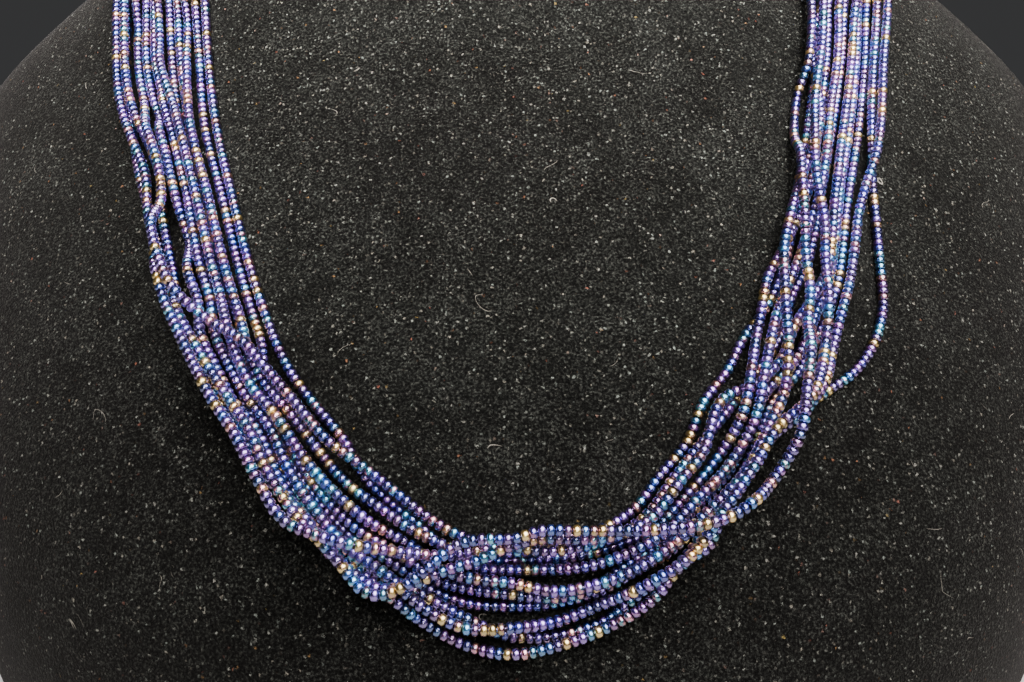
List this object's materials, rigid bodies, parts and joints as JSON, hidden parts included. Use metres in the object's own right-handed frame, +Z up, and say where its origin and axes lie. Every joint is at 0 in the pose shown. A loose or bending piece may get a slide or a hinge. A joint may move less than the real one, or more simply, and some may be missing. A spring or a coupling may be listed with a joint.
{
  "type": "multi strand necklace on a neck bust",
  "caption": "Loose, slightly twisted bundle of small bead strings worn round a plain dark velvet neck bust, closed by a bar clasp at the nape.",
  "frame": {"origin": "on the floor under the middle plane of the bust, in the flat base", "axes": "+Z up, the front of the bust and of the necklace faces -Y, X runs across the shoulders"},
  "size_m": [0.2994, 0.1809, 0.32],
  "materials": {
    "velvet": "short dark velvet pile",
    "beads": "small beads with a metallic purple and blue sheen",
    "clasp_metal": "satin"
  },
  "bodies": {
    "root": {"neck_bust": "velvet", "strand_01": "beads", "strand_02": "beads", "strand_03": "beads", "strand_04": "beads", "strand_05": "beads", "strand_06": "beads", "strand_07": "beads", "strand_08": "beads", "strand_09": "beads", "strand_10": "beads", "strand_11": "beads", "strand_12": "beads", "clasp": "clasp_metal"}
  },
  "joints": []
}
